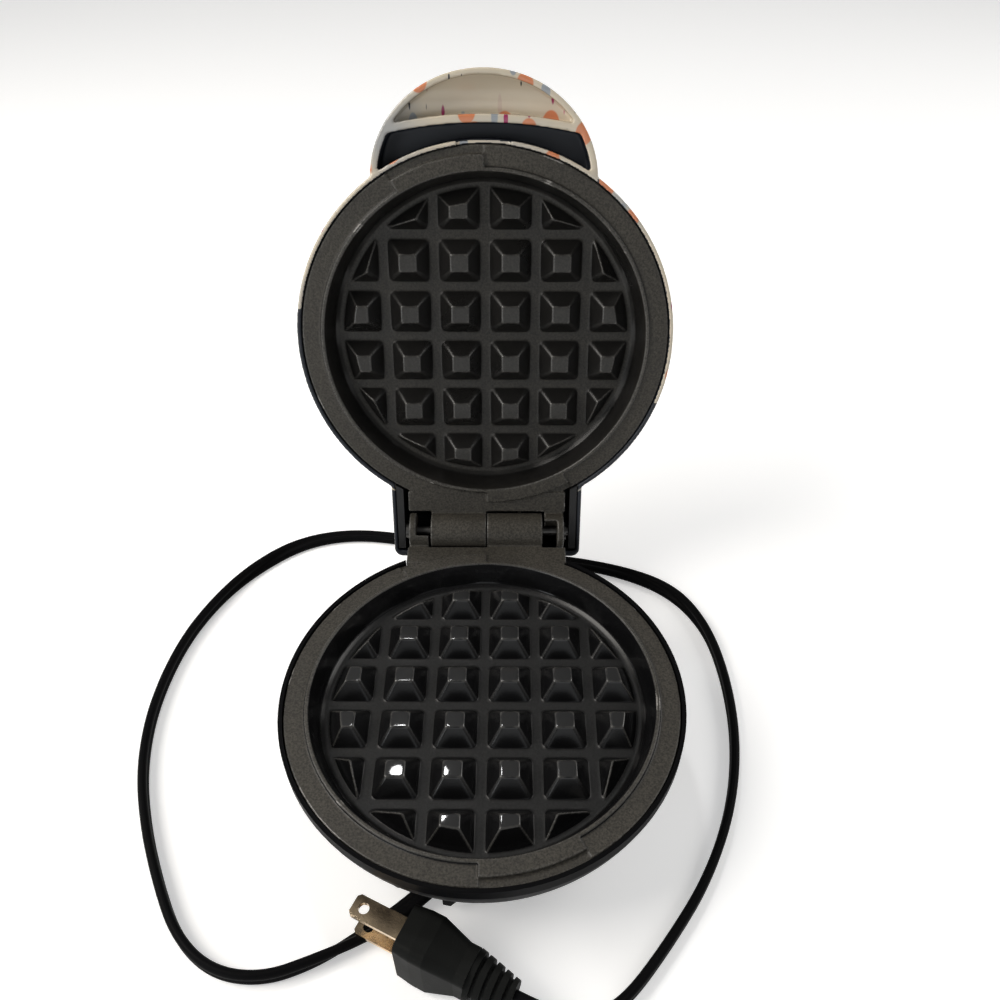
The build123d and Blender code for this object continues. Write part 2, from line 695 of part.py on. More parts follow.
def lid_wiring():
    gx, gy = on_circle(element_ring_d, 90 - element_gap_angle / 2)
    pin_top = -floor_under + 0.1 + element_d + terminal_length + 0.1
    lamp_side = lens_back + lamp_d / 2 + lamp_gap
    lamp_level = lens_seat() - lamp_length / 2
    leads = [
        wire((gx, gy, pin_top), (gx, gy, pin_top + 2.5), (gx, 44.0, pin_top + 1), (12.0, hinge_back - 1.5, 10.5), radius=1.8),
        wire((-gx, gy, pin_top), (-gx, gy, pin_top + 2.4), (-gx, -24.0, pin_top + 2.4),
             (0.0, lamp_side, lamp_level), radius=1.3),
    ]
    return Compound(children=leads)


# ---------------------------------------------------------------- lead and plug
def cord_gland():
    wall = gland_inner_end() + gland_flange
    cone = Rot(Y=90) * Cone(gland_base_d / 2, gland_tip_d / 2, gland_length)
    body = Pos(-gland_length / 2, 0, 0) * cone
    for k in range(4):
        x = -gland_length + 6 + k * 3.4
        body -= x_cylinder(9, x, x + 0.9) - x_cylinder(gland_tip_d / 2 + 0.25 + (3 - k) * 0.28, x - 1, x + 2)
    body += x_cylinder(gland_neck_d / 2, wall, -gland_length + 0.3)
    body += x_cylinder(gland_base_d / 2, wall - gland_flange, wall)
    return gland_frame() * body


def plug_frame():
    """X runs from the blades back towards the lead, at mid height of the plug."""
    return Pos(plug_face[0], plug_face[1], plug_height / 2) * Rot(Z=plug_angle)


def across(width, height, corner, x):
    """A rounded section standing across the plug at x."""
    return Plane(origin=(x, 0, 0), x_dir=(0, 1, 0), z_dir=(1, 0, 0)) * RectangleRounded(width, height, corner)


def plug_body():
    nose = loft([across(plug_width - 1.0, plug_height - 1.0, 2.4, 0), across(plug_width, plug_height, 2.8, plug_nose)])
    middle = extrude(across(plug_width, plug_height, 2.8, plug_nose), 4.0)
    neck_start = across(neck_width, neck_height, 3.0, plug_body_length - 3)
    tail = loft([across(plug_width, plug_height, 2.8, plug_nose + 4), neck_start])
    neck = extrude(neck_start, 3.0)
    return plug_frame() * (nose + middle + tail + neck)


def plug_strain_relief():
    body = Pos(plug_body_length + relief_length / 2, 0, 0) * Rot(Y=90) * Cone(relief_d / 2, relief_tip_d / 2, relief_length)
    for k in range(4):
        along = 1.6 + k * 2.8
        core = (relief_d - (relief_d - relief_tip_d) * along / relief_length) / 2 - relief_rib
        x = plug_body_length + along
        body -= x_cylinder(relief_d, x, x + 1.1) - x_cylinder(core, x - 1, x + 3)
    return plug_frame() * body


def plug_blades():
    blades = []
    for side in (-1, 1):
        z = side * blade_spacing / 2
        blade = block(-blade_length, 0, -blade_width / 2, blade_width / 2, z - blade_thickness / 2, z + blade_thickness / 2)
        blade = chamfer(blade.edges().filter_by(Axis.Z).group_by(Axis.X)[0], 0.9)
        blade -= cylinder(blade_hole_d / 2, z - 2, z + 2, -blade_length + 3.4)
        blades.append(plug_frame() * blade)
    return Compound(children=blades)


def power_cord():
    relief_end = plug_body_length + relief_length
    start = [(gland_frame() * Pos(x, 0, 0)).position for x in (0, cord_first_run)]
    end = [(plug_frame() * Pos(x, 0, 0)).position for x in (relief_end + cord_last_run, relief_end)]
    corners = start + [Vector(*p) for p in cord_route] + end
    radii = []
    for before, here, after in zip(corners, corners[1:], corners[2:]):
        turn = radians((here - before).get_angle(after - here))
        shorter = min((here - before).length, (after - here).length)
        radii.append(0.45 * shorter / tan(turn / 2))
    print("cord radii", [round(r) for r in radii])
    path = FilletPolyline(*corners, radius=radii)
    tube = sweep(Plane(origin=path @ 0, z_dir=path % 0) * Circle(cord_d / 2), path)
    section = pi * cord_d ** 2 / 4
    print("cord length", round(path.length, 1), "volume", round(tube.volume), "and", round(path.length * section))
    return tube


# ---------------------------------------------------------------- all pieces
def build():
    plate = casting()
    pieces = {
        "base_plate": to_world(plate),
        "base_housing": base_housing(),
        "bottom_cover": bottom_cover(),
        "rubber_feet": rubber_feet(),
        "tie_screws": tie_screws(),
        "base_heating_element": to_world(heating_element()),
        "base_element_clips": to_world(element_clips()),
        "base_heat_shield": to_world(heat_shield()),
        "thermostat": to_world(thermostat()),
        "thermal_fuse": thermal_fuse(),
        "terminal_block": terminal_block(),
        "base_wiring": base_wiring(),
        "hinge_pin": hinge_pin(),
        "pin_clip": pin_clip(),
        "cord_gland": cord_gland(),
        "power_cord": power_cord(),
        "plug_body": plug_body(),
        "plug_strain_relief": plug_strain_relief(),
        "plug_blades": plug_blades(),
        "lid_plate": opened(turned_over(plate)),
        "lid_shell": opened(lid_shell()),
        "lid_inner_frame": opened(lid_inner_frame()),
        "lid_heating_element": opened(turned_over(heating_element())),
        "lid_element_clips": opened(turned_over(element_clips())),
        "lid_heat_shield": opened(turned_over(heat_shield())),
        "lid_frame_screws": opened(frame_screws()),
        "indicator_lens": opened(indicator_lens()),
        "indicator_lamp": opened(indicator_lamp()),
        "lid_wiring": opened(lid_wiring()),
    }
    return pieces


on_the_lead = ("power_cord", "plug_body", "plug_strain_relief", "plug_blades", "cord_gland")
pieces = build()
boxes = [shape.bounding_box() for name, shape in pieces.items() if name not in on_the_lead]
middle_y = (min(b.min.Y for b in boxes) + max(b.max.Y for b in boxes)) / 2
for name, shape in pieces.items():
    export_step(Pos(0, -middle_y, 0) * shape, f"parts/{name}.step")
print("plate axis at y", round(-middle_y, 3), "hinge axis at y", round(hinge_back - middle_y, 3), "z", parting_height)
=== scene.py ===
import bpy
import bmesh
import json
import math
from mathutils import Matrix, Vector


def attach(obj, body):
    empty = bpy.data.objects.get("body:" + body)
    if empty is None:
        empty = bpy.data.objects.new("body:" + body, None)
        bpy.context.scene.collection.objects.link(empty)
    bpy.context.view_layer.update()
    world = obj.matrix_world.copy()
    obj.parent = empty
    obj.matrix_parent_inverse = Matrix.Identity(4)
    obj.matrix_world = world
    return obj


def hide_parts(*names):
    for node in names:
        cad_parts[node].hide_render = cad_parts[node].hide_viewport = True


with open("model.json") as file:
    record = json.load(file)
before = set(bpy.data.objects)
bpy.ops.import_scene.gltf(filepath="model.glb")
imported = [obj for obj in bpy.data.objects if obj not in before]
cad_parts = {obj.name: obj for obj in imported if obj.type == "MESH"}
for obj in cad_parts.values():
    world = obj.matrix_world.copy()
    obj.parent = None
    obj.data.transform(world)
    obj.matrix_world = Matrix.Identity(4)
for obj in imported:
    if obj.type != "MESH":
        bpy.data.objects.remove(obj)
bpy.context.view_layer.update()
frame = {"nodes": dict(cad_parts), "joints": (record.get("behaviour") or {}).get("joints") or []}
nodes = frame["nodes"]

mm = 0.001
hinge = next(j for j in frame["joints"] if j["name"] == "lid_hinge")
hingePoint = Vector(hinge["pos_m"])

plate = {
    "hingeBack": 69.5 * mm,      # hinge axis behind the plates' centre
    "lidOpen": math.radians(109.04),
    "poolRadius": 53.3 * mm,
    "poolDepth": 8.75 * mm,
    "gridPitch": 16.7 * mm,
    "pyramidHeight": 5.7 * mm,
    "pyramidTop": 5.6 * mm,
    "topCrown": 0.07 * mm,       # how much the pyramids' tops are crowned
    "topBand": 0.45 * mm,        # how near their height a point counts as on top
    "topReach": 0.55,            # where the crown ends, as a share of the top's width, squared
    "poolRim": 2.5 * mm,         # how far outside the pool its wall's rounded rim ends
    "steepFrom": 0.93,           # a side that faces up less than this begins to be steep
    "steepFull": 0.75,
}
plateCentre = hingePoint - Vector((0, plate["hingeBack"], 0))


def closedFrame(turned):
    # from the shared frame into a plate's own: from its centre, with Z out of its face
    toCentre = Matrix.Translation(-plateCentre)
    if not turned:
        return toCentre
    atHinge = Matrix.Translation(hingePoint)
    shut = atHinge @ Matrix.Rotation(plate["lidOpen"], 4, "X") @ atHinge.inverted()
    return Matrix.Scale(-1, 4, (0, 0, 1)) @ toCentre @ shut


def newTree(name):
    material = bpy.data.materials.new(name)
    material.use_nodes = True
    tree = material.node_tree
    tree.nodes.clear()
    return material, tree


def add(tree, kind, values=None, **settings):
    # one node, with its settings and the values or links of its inputs
    made = tree.nodes.new(kind)
    for key, value in settings.items():
        setattr(made, key, value)
    for key, value in (values or {}).items():
        socket = made.inputs[key]
        if isinstance(value, bpy.types.NodeSocket):
            tree.links.new(value, socket)
        else:
            socket.default_value = value
    return made


def colour(red, green, blue):
    return (red, green, blue, 1.0)


def mapRange(tree, value, low, high, toLow=0.0, toHigh=1.0):
    return add(tree, "ShaderNodeMapRange", {"Value": value, "From Min": low, "From Max": high,
                                            "To Min": toLow, "To Max": toHigh}).outputs["Result"]


def mixColour(tree, factor, first, second, blend="MIX"):
    made = add(tree, "ShaderNodeMix", data_type="RGBA", blend_type=blend)
    for key, value in ((0, factor), (6, first), (7, second)):
        if isinstance(value, bpy.types.NodeSocket):
            tree.links.new(value, made.inputs[key])
        else:
            made.inputs[key].default_value = value
    return made.outputs[2]


def mathNode(tree, operation, first, second):
    return add(tree, "ShaderNodeMath", {0: first, 1: second}, operation=operation).outputs[0]


def newGroup(name, inputs, outputs):
    group = bpy.data.node_groups.new(name, "ShaderNodeTree")
    kinds = {"float": "NodeSocketFloat", "colour": "NodeSocketColor", "vector": "NodeSocketVector"}
    for label, kind, value in inputs:
        socket = group.interface.new_socket(name=label, in_out="INPUT", socket_type=kinds[kind])
        if value is not None:
            socket.default_value = value
    for label, kind in outputs:
        group.interface.new_socket(name=label, in_out="OUTPUT", socket_type=kinds[kind])
    return group, group.nodes.new("NodeGroupInput").outputs, group.nodes.new("NodeGroupOutput").inputs


surface = {
    "patches": (0.3, 0.7),       # noise values between which the patches swing
    "specks": (0.62, 0.75),      # grain values from which dust shows, and where it is full
    "dustColour": colour(0.35, 0.33, 0.30),
}


def buildSurfaceGroup():
    # soft patches of tone and gloss, dust specks, and a fine grain for bump
    group, given, result = newGroup(
        "surfaceVariation",
        [("Color", "colour", colour(0.5, 0.5, 0.5)), ("Roughness", "float", 0.5), ("Patch Scale", "float", 60.0),
         ("Patch Amount", "float", 0.1), ("Grain Scale", "float", 1500.0), ("Dust", "float", 0.0)],
        [("Color", "colour"), ("Roughness", "float"), ("Grain", "float")])
    place = add(group, "ShaderNodeTexCoord").outputs["Object"]
    patches = add(group, "ShaderNodeTexNoise", {"Vector": place, "Scale": given["Patch Scale"], "Detail": 3.0,
                                                "Roughness": 0.6}).outputs["Fac"]
    grain = add(group, "ShaderNodeTexNoise", {"Vector": place, "Scale": given["Grain Scale"], "Detail": 2.0,
                                              "Roughness": 0.7}).outputs["Fac"]
    signed = mapRange(group, patches, *surface["patches"], -1.0, 1.0)
    gain = mathNode(group, "ADD", mathNode(group, "MULTIPLY", signed, given["Patch Amount"]), 1.0)
    toned = add(group, "ShaderNodeVectorMath", {0: given["Color"], "Scale": gain}, operation="SCALE").outputs[0]
    specks = mapRange(group, grain, *surface["specks"])
    dusty = mixColour(group, mathNode(group, "MULTIPLY", specks, given["Dust"]), toned, surface["dustColour"])
    group.links.new(dusty, result["Color"])
    group.links.new(mathNode(group, "MULTIPLY", given["Roughness"], gain), result["Roughness"])
    group.links.new(grain, result["Grain"])
    return group


surfaceVariation = buildSurfaceGroup()


def finish(name, base, roughness, patchScale=60.0, patchAmount=0.1, grainScale=1500.0, grainHeight=0.00002,
           dust=0.0, **principled):
    # a plain finish: one Principled shader, with patches, grain and a fine bump
    material, tree = newTree(name)
    varied = add(tree, "ShaderNodeGroup", node_tree=surfaceVariation)
    for key, value in (("Color", base), ("Roughness", roughness), ("Patch Scale", patchScale),
                       ("Patch Amount", patchAmount), ("Grain Scale", grainScale), ("Dust", dust)):
        varied.inputs[key].default_value = value
    bump = add(tree, "ShaderNodeBump", {"Height": varied.outputs["Grain"], "Distance": grainHeight, "Strength": 1.0})
    shader = add(tree, "ShaderNodeBsdfPrincipled", {
        "Base Color": varied.outputs["Color"], "Roughness": varied.outputs["Roughness"],
        "Normal": bump.outputs["Normal"], **principled})
    add(tree, "ShaderNodeOutputMaterial", {"Surface": shader.outputs["BSDF"]})
    return material


coating = {
    "colour": colour(0.036, 0.0325, 0.0262),
    # painted shade: the pool is made darker than the ring, fully on the lower plate and half as much on the upper
    "poolShadeColour": colour(0.0065, 0.0064, 0.0062),
    # painted shade: the pyramids' steep sides and the pool's wall are made darker, more on the lower plate than the
    # upper
    "steepShadeColour": colour(0.0042, 0.0042, 0.0046),
    # painted shade: the pyramids' tops are made darker, fully on the lower plate and less on the upper
    "topShadeColour": colour(0.0035, 0.0035, 0.0036),
    # painted highlight: the colour that the edges are lightened toward
    "highlightColour": colour(0.085, 0.082, 0.076),
    "chipColour": colour(0.26, 0.25, 0.235),
    "roughness": 0.50,
    "steepRoughness": 0.24,
    "ior": 1.40,
    "topGloss": {"Coat Roughness": 0.04, "Coat IOR": 1.36},
    "patchScale": 45.0,
    "patchAmount": 0.14,
    "sandScale": 1500.0,
    "sandHeight": 0.10 * mm,
    "smoothSand": 0.08,         # how much of the sand is left on steep sides and tops
    "speckle": (0.36, 0.66, 0.62, 1.65),  # grain values, and the gain in tone that they give
    "highlightAmount": (0.14, 0.55),       # painted highlight: how much lighter the edges are made, least and most
    # grain values that break up the painted edge highlight
    "highlightGrain": (0.35, 0.65),
    "chipScale": 70.0,
    "chips": (0.645, 0.665),    # noise values at the border of a chip
    "chipEdge": (0.45, 0.7),    # a chip needs an edge this sharp
    "chipPool": 0.3,            # and there are none from this pool mask on
}


def coatedPlate():
    # sprayed coating: sandy where it fell straight on, smoother on the steep sides, chipped on the ring's edges;
    # painted shade darkens the pool, the steep sides and the pyramids' tops, and a painted highlight lightens the
    # edges
    material, tree = newTree("plateCoating")
    place = add(tree, "ShaderNodeTexCoord").outputs["Object"]
    varied = add(tree, "ShaderNodeGroup", node_tree=surfaceVariation)
    varied.inputs["Patch Scale"].default_value = coating["patchScale"]
    varied.inputs["Patch Amount"].default_value = coating["patchAmount"]
    varied.inputs["Grain Scale"].default_value = coating["sandScale"]
    grain = varied.outputs["Grain"]
    pool, steep, top, edge = [add(tree, "ShaderNodeAttribute", attribute_name=name).outputs["Fac"]
                              for name in ("poolMask", "steepMask", "topMask", "edgeMask")]
    # painted shade in the pool
    toned = mixColour(tree, pool, coating["colour"], coating["poolShadeColour"])
    # painted shade on the pyramids' tops
    toned = mixColour(tree, top, toned, coating["topShadeColour"])
    # painted shade on the steep sides
    toned = mixColour(tree, steep, toned, coating["steepShadeColour"])
    # painted highlight: the edges are made lighter, broken up by the grain
    highlighted = mathNode(tree, "MULTIPLY", edge, mapRange(tree, grain, *coating["highlightGrain"], *coating["highlightAmount"]))
    toned = mixColour(tree, highlighted, toned, coating["highlightColour"])
    flaws = add(tree, "ShaderNodeTexNoise", {"Vector": place, "Scale": coating["chipScale"],
                                             "Detail": 4.0}).outputs["Fac"]
    chipped = mathNode(tree, "MULTIPLY", mapRange(tree, flaws, *coating["chips"]),
                       mapRange(tree, edge, *coating["chipEdge"]))
    onRing = mapRange(tree, pool, 0.0, coating["chipPool"], 1.0, 0.0)
    toned = mixColour(tree, mathNode(tree, "MULTIPLY", chipped, onRing), toned, coating["chipColour"])
    smoother = mathNode(tree, "MAXIMUM", steep, edge)
    rough = mapRange(tree, smoother, 0.0, 1.0, coating["roughness"], coating["steepRoughness"])
    tree.links.new(toned, varied.inputs["Color"])
    tree.links.new(rough, varied.inputs["Roughness"])
    sand = mapRange(tree, mathNode(tree, "MAXIMUM", steep, top), 0.0, 1.0, 1.0, coating["smoothSand"])
    gain = add(tree, "ShaderNodeMix", {0: sand, 2: 1.0, 3: mapRange(tree, grain, *coating["speckle"])}).outputs[0]
    speckled = add(tree, "ShaderNodeVectorMath", {0: varied.outputs["Color"], "Scale": gain},
                   operation="SCALE").outputs[0]
    bump = add(tree, "ShaderNodeBump", {"Height": mathNode(tree, "MULTIPLY", grain, sand),
                                        "Distance": coating["sandHeight"], "Strength": 1.0})
    shader = add(tree, "ShaderNodeBsdfPrincipled", {
        "Base Color": speckled, "Roughness": varied.outputs["Roughness"], "Normal": bump.outputs["Normal"],
        "IOR": coating["ior"], "Coat Weight": top, **coating["topGloss"]})
    add(tree, "ShaderNodeOutputMaterial", {"Surface": shader.outputs["BSDF"]})
    return material


shellPrint = {
    "cream": colour(0.62, 0.545, 0.425),
    "inside": colour(0.008, 0.011, 0.018),
    "coral": colour(0.62, 0.22, 0.10),
    "plum": colour(0.33, 0.03, 0.11),
    "ink": colour(0.03, 0.03, 0.04),
    "haze": colour(0.30, 0.325, 0.35),
    "washAndShadeScale": 26.0,
    "washAndShadeFrom": (0.50, 0.68),
    "washAndShade": 0.75,               # how strong the soft blue-grey wash between the marks is, part print and part painted shade
    "dotScale": 70.0,
    "scatter": 0.85,
    "markEdge": 0.02,
    "innerEdge": (0.35, 0.65),
    "roughness": (0.22, 0.55),  # printed outside, black inside
    "gloss": (0.4, 0.0),
    "glossRoughness": 0.08,
    "patchScale": 25.0,
    "patchAmount": 0.03,
    # tint, scale, size of the mark in its cell, share of cells left bare, stretch
    "marks": (("coral", 1.7, 0.32, 0.42, (1.0, 0.9, 0.75)), ("plum", 1.9, 0.18, 0.35, (2.0, 1.0, 0.35)),
              ("haze", 2.2, 0.28, 0.55, (1.3, 1.0, 0.6)), ("ink", 2.7, 0.12, 0.38, (2.2, 1.2, 0.4))),
}


def printedShell():
    # gloss cream with a soft blue-grey wash, part print and part painted shade, and a scattered print of rounded chips
    # and short dashes
    material, tree = newTree("printedShell")
    place = add(tree, "ShaderNodeTexCoord").outputs["Object"]
    varied = add(tree, "ShaderNodeGroup", node_tree=surfaceVariation)
    varied.inputs["Patch Scale"].default_value = shellPrint["patchScale"]
    varied.inputs["Patch Amount"].default_value = shellPrint["patchAmount"]
    clouds = add(tree, "ShaderNodeTexNoise", {"Vector": place, "Scale": shellPrint["washAndShadeScale"],
                                              "Detail": 1.0}).outputs["Fac"]
    # painted shade, in part: blue-grey clouds darken the cream between the marks
    washAndShade = mapRange(tree, clouds, *shellPrint["washAndShadeFrom"], 0.0, shellPrint["washAndShade"])
    painted = mixColour(tree, washAndShade, shellPrint["cream"], shellPrint["haze"])
    for tint, scale, radius, share, stretch in shellPrint["marks"]:
        drawn = add(tree, "ShaderNodeMapping", {"Vector": place, "Scale": stretch}).outputs["Vector"]
        cells = add(tree, "ShaderNodeTexVoronoi", {"Vector": drawn, "Scale": shellPrint["dotScale"] * scale,
                                                   "Randomness": shellPrint["scatter"]})
        split = add(tree, "ShaderNodeSeparateColor", {"Color": cells.outputs["Color"]})
        inside = mapRange(tree, cells.outputs["Distance"], radius + shellPrint["markEdge"],
                          radius - shellPrint["markEdge"])
        chosen = mapRange(tree, split.outputs[0], share, share + 0.01)
        painted = mixColour(tree, mathNode(tree, "MULTIPLY", inside, chosen), painted, shellPrint[tint])
    inner = add(tree, "ShaderNodeAttribute", attribute_name="innerMask").outputs["Fac"]
    dark = mapRange(tree, inner, *shellPrint["innerEdge"])
    painted = mixColour(tree, dark, painted, shellPrint["inside"])
    tree.links.new(painted, varied.inputs["Color"])
    tree.links.new(mapRange(tree, dark, 0.0, 1.0, *shellPrint["roughness"]), varied.inputs["Roughness"])
    gloss = mapRange(tree, dark, 0.0, 1.0, *shellPrint["gloss"])
    shader = add(tree, "ShaderNodeBsdfPrincipled", {
        "Base Color": varied.outputs["Color"], "Roughness": varied.outputs["Roughness"],
        "Coat Weight": gloss, "Coat Roughness": shellPrint["glossRoughness"]})
    add(tree, "ShaderNodeOutputMaterial", {"Surface": shader.outputs["BSDF"]})
    return material


metal = {"Metallic": 1.0}
dullBlack = {"IOR": 1.1}
finishes = {
    "plateCoating": coatedPlate(),
    "printedShell": printedShell(),
    "blackHousing": finish("blackHousing", colour(0.004, 0.004, 0.0045), 0.45, dust=0.008, **dullBlack),
    "blackCover": finish("blackCover", colour(0.008, 0.008, 0.0085), 0.55, grainHeight=0.00004, **dullBlack),
    "footRubber": finish("footRubber", colour(0.022, 0.022, 0.022), 0.8, grainHeight=0.00003, dust=0.08),
    "screwSteel": finish("screwSteel", colour(0.55, 0.55, 0.56), 0.3, patchAmount=0.2, **metal),
    "elementSteel": finish("elementSteel", colour(0.22, 0.20, 0.18), 0.45, patchAmount=0.35, **metal),
    "clipSteel": finish("clipSteel", colour(0.5, 0.5, 0.5), 0.35, patchAmount=0.15, **metal),
    "shieldAluminium": finish("shieldAluminium", colour(0.72, 0.72, 0.73), 0.3, patchAmount=0.1, **metal),
    "ceramic": finish("ceramic", colour(0.75, 0.72, 0.65), 0.6, grainHeight=0.00003),
    "fuseSleeve": finish("fuseSleeve", colour(0.75, 0.72, 0.62), 0.85, grainScale=2500.0, grainHeight=0.00006),
    "wireInsulation": finish("wireInsulation", colour(0.70, 0.66, 0.58), 0.5),
    "pinSteel": finish("pinSteel", colour(0.10, 0.098, 0.095), 0.42, patchAmount=0.3, **metal),
    "leadBlack": finish("leadBlack", colour(0.0045, 0.0045, 0.005), 0.42, dust=0.01, **dullBlack),
    "plugBlack": finish("plugBlack", colour(0.012, 0.0125, 0.012), 0.45, grainHeight=0.00003, dust=0.012, **dullBlack),
    "bladeMetal": finish("bladeMetal", colour(0.78, 0.61, 0.41), 0.25, patchScale=180.0, patchAmount=0.2, **metal),
    "innerFrame": finish("innerFrame", colour(0.008, 0.008, 0.0085), 0.5),
    "redLens": finish("redLens", colour(0.55, 0.03, 0.02), 0.15, **{"Coat Weight": 0.5}),
    "lampGlass": finish("lampGlass", colour(0.8, 0.45, 0.25), 0.1),
}
nodeFinish = {
    "base_housing": "blackHousing", "bottom_cover": "blackCover", "rubber_feet": "footRubber",
    "tie_screws": "screwSteel", "lid_frame_screws": "screwSteel", "base_heating_element": "elementSteel",
    "lid_heating_element": "elementSteel", "base_element_clips": "clipSteel", "lid_element_clips": "clipSteel",
    "base_heat_shield": "shieldAluminium", "lid_heat_shield": "shieldAluminium", "thermostat": "ceramic",
    "thermal_fuse": "fuseSleeve", "terminal_block": "ceramic", "base_wiring": "wireInsulation",
    "lid_wiring": "wireInsulation", "hinge_pin": "pinSteel", "pin_clip": "pinSteel", "cord_gland": "leadBlack",
    "power_cord": "leadBlack", "plug_body": "plugBlack", "plug_strain_relief": "plugBlack",
    "plug_blades": "bladeMetal", "lid_shell": "printedShell", "lid_inner_frame": "innerFrame",
    "indicator_lens": "redLens", "indicator_lamp": "lampGlass", "base_plate": "plateCoating",
    "lid_plate": "plateCoating",
}
for name, finishName in nodeFinish.items():
    mesh = nodes[name].data
    mesh.materials.clear()
    mesh.materials.append(finishes[finishName])
print("finishes", len(finishes))


casting = {
    "voxel": 0.32 * mm,
    "softening": 0.5,
    "smoothing": 3,
    "keep": 0.30,
    "edgeBend": (250.0, 750.0),  # outward bend, per metre, where the edge mask begins and where it is full; it drives the painted edge highlight, the chips and the edges' gloss
}


def copyOf(name, node):
    piece = bpy.data.objects.new(name, nodes[node].data.copy())
    bpy.context.scene.collection.objects.link(piece)
    return piece


def applyModifiers(piece):
    bpy.context.view_layer.update()
    depsgraph = bpy.context.evaluated_depsgraph_get()
    mesh = bpy.data.meshes.new_from_object(piece.evaluated_get(depsgraph))
    piece.modifiers.clear()
    piece.data = mesh


def weld(piece, distance=0.002 * mm):
    work = bmesh.new()
    work.from_mesh(piece.data)
    bmesh.ops.remove_doubles(work, verts=work.verts, dist=distance)
    work.to_mesh(piece.data)
    work.free()


def roundOff(piece, values, reshape=None):
    # an even remesh with its edges softened, reshaped if asked, then thinned out where it is flat
    remesh = piece.modifiers.new("remesh", "REMESH")
    remesh.mode = "VOXEL"
    remesh.voxel_size = values["voxel"]
    smooth = piece.modifiers.new("soften", "SMOOTH")
    smooth.factor = values["softening"]
    smooth.iterations = values["smoothing"]
    applyModifiers(piece)
    if reshape:
        reshape(piece.data)
    piece.modifiers.new("thin", "DECIMATE").ratio = values["keep"]
    applyModifiers(piece)
    piece.data.polygons.foreach_set("use_smooth", [True] * len(piece.data.polygons))


def dress(piece, finishName, masks, body, node):
    for key, values in masks.items():
        piece.data.attributes.new(key, "FLOAT", "POINT").data.foreach_set("value", values)
    piece.data.materials.clear()
    piece.data.materials.append(finishes[finishName])
    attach(piece, body)
    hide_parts(node)
    print(piece.name, len(piece.data.polygons), "faces")


def clamp(value):
    return min(max(value, 0.0), 1.0)


def crownLift(place):
    # how far a point on a pyramid's top is raised by its crown, or None elsewhere
    overFloor = place.z + plate["poolDepth"]
    if abs(overFloor - plate["pyramidHeight"]) > plate["topBand"]:
        return None
    if math.hypot(place.x, place.y) > plate["poolRadius"]:
        return None
    pitch = plate["gridPitch"]
    across = [(value / pitch) % 1.0 * pitch - pitch / 2 for value in (place.x, place.y)]
    swell = 1.0 - (across[0] ** 2 + across[1] ** 2) / (plate["topReach"] * plate["pyramidTop"] ** 2)
    return plate["topCrown"] * max(swell, 0.0)


def plateMasks(place, facing):
    # how far a point belongs to the pool, to a steep side and to a pyramid's top
    radius = math.hypot(place.x, place.y)
    inPool = clamp((plate["poolRadius"] - radius) / mm) * clamp(-3 * place.z / plate["poolDepth"])
    steep = clamp((plate["steepFrom"] - facing.z) / (plate["steepFrom"] - plate["steepFull"]))
    steep *= clamp((plate["poolRadius"] + plate["poolRim"] - radius) / mm)
    onTop = inPool >= 0.5 and crownLift(place) is not None
    return inPool, steep, 1.0 if onTop else 0.0


def outwardBend(mesh):
    # how sharply the surface turns outward at each vertex, per metre
    bends = [[0.0, 0] for vertex in mesh.vertices]
    for edge in mesh.edges:
        first, second = [mesh.vertices[index] for index in edge.vertices]
        along = second.co - first.co
        turn = (second.normal - first.normal).dot(along) / max(along.length_squared, 1e-12)
        for index in edge.vertices:
            bends[index][0] += turn
            bends[index][1] += 1
    return [total / max(count, 1) for total, count in bends]


def castPlate(name, node, body, turned, shadeAndGloss):
    # the casting with its edges rounded as die casting and coating leave them
    piece = copyOf(name, node)
    weld(piece)
    own = closedFrame(turned)
    back = own.inverted()

    def crownTops(mesh):
        for vertex in mesh.vertices:
            place = own @ vertex.co
            lift = crownLift(place)
            if lift:
                vertex.co = back @ (place + Vector((0, 0, lift)))

    roundOff(piece, casting, crownTops)
    turnOnly = own.to_3x3()
    masks = {key: [] for key in shadeAndGloss}
    for vertex in piece.data.vertices:
        for key, value in zip(masks, plateMasks(own @ vertex.co, turnOnly @ vertex.normal)):
            masks[key].append(value * shadeAndGloss[key])
    low, high = casting["edgeBend"]
    masks["edgeMask"] = [clamp((bend - low) / (high - low)) for bend in outwardBend(piece.data)]
    dress(piece, "plateCoating", masks, body, node)


# per plate, how strong the masks are: the painted shade in the pool, on the steep sides and on the tops, which also
# set the steep sides' and tops' gloss and smoothness; the lower plate gets more painted shade than the upper
castPlate("lowerPlate", "base_plate", "base", False, {"poolMask": 1.0, "steepMask": 1.0, "topMask": 1.0})
castPlate("upperPlate", "lid_plate", "lid", True, {"poolMask": 0.5, "steepMask": 0.75, "topMask": 0.3})

